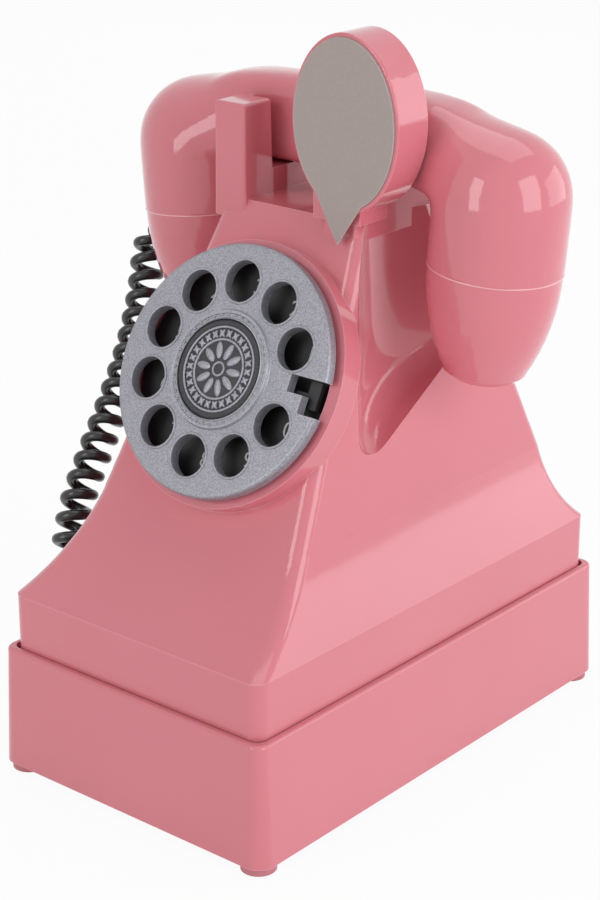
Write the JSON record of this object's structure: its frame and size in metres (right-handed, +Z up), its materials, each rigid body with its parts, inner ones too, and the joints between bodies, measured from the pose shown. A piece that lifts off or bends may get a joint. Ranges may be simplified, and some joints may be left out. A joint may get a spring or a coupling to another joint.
{
  "type": "rotary dial telephone",
  "caption": "Upright bedroom telephone with a tapered hood on a two-step plinth, rotary dial, cradle, lift-off handset, curly cord and a bare sign on one prong.",
  "frame": {"origin": "on the floor under the middle of the plinth", "axes": "+Z up, the dial faces -Y, +X to the right seen from the front"},
  "size_m": [0.184, 0.194, 0.2552],
  "materials": {
    "housing": "gloss",
    "feet": "matte",
    "panel": "grained matte",
    "dial_black": "satin",
    "wheel_metal": "cast and brushed",
    "screw_steel": "plain",
    "brass": "plain",
    "cord_black": "semi gloss",
    "board_green": "matte",
    "coil_copper": "wound"
  },
  "bodies": {
    "base": {"base_tray": "housing", "base_feet": "feet", "base_screws": "screw_steel", "body_shell": "housing", "sign_drum": "housing", "sign_panel": "panel", "number_plate": "dial_black", "finger_stop": "dial_black", "dial_bush": "brass", "dial_frame": "screw_steel", "dial_screws": "screw_steel", "spring_barrel": "screw_steel", "curly_cord": "cord_black", "cord_plug": "cord_black", "cord_socket": "dial_black", "hook_spring": "screw_steel", "hook_switch": "dial_black", "circuit_board": "board_green", "ringer_gong_left": "brass", "ringer_gong_right": "brass", "ringer_coil": "coil_copper", "clapper_post": "screw_steel", "line_inlet": "dial_black"},
    "dial": {"finger_wheel": "wheel_metal", "medallion_ring": "wheel_metal", "medallion_cap": "wheel_metal", "dial_shaft": "screw_steel", "main_gear": "brass"},
    "governor": {"governor": "brass"},
    "handset": {"handset_shell": "housing", "ear_cap": "housing", "mouth_cap": "housing", "receiver_capsule": "dial_black", "microphone_capsule": "dial_black", "cord_grommet": "cord_black"},
    "hook": {"hook_yoke": "dial_black"},
    "clapper": {"ringer_clapper": "brass"}
  },
  "joints": [
    {"name": "dial_turn", "type": "hinge", "parent": "base", "child": "dial", "pos_m": [0, -0.0366, 0.1412], "axis": [0, 0.8861, -0.4635], "range_deg": [0, 320], "stiffness_Nm_per_rad": 0.004},
    {"name": "governor_spin", "type": "hinge", "parent": "base", "child": "governor", "pos_m": [0, -0.04587, 0.12348], "axis": [0, 0.8861, -0.4635], "range_deg": [-1300, 5]},
    {"name": "handset_lift", "type": "slide", "parent": "base", "child": "handset", "axis": [0, 0, 1], "range_m": [0, 0.13], "deforming": ["curly_cord"]},
    {"name": "hook_rise", "type": "slide", "parent": "base", "child": "hook", "axis": [0, 0, 1], "range_m": [0, 0.005], "deforming": ["hook_spring"]},
    {"name": "clapper_swing", "type": "hinge", "parent": "base", "child": "clapper", "pos_m": [0, -0.023, 0.0166], "axis": [0, 0, 1], "range_deg": [-6, 6], "stiffness_Nm_per_rad": 0.002}
  ],
  "couplings": [
    {"joint": "governor_spin", "follows": "dial_turn", "ratio": -4},
    {"joint": "hook_rise", "follows": "handset_lift", "ratio": 0.0308}
  ]
}
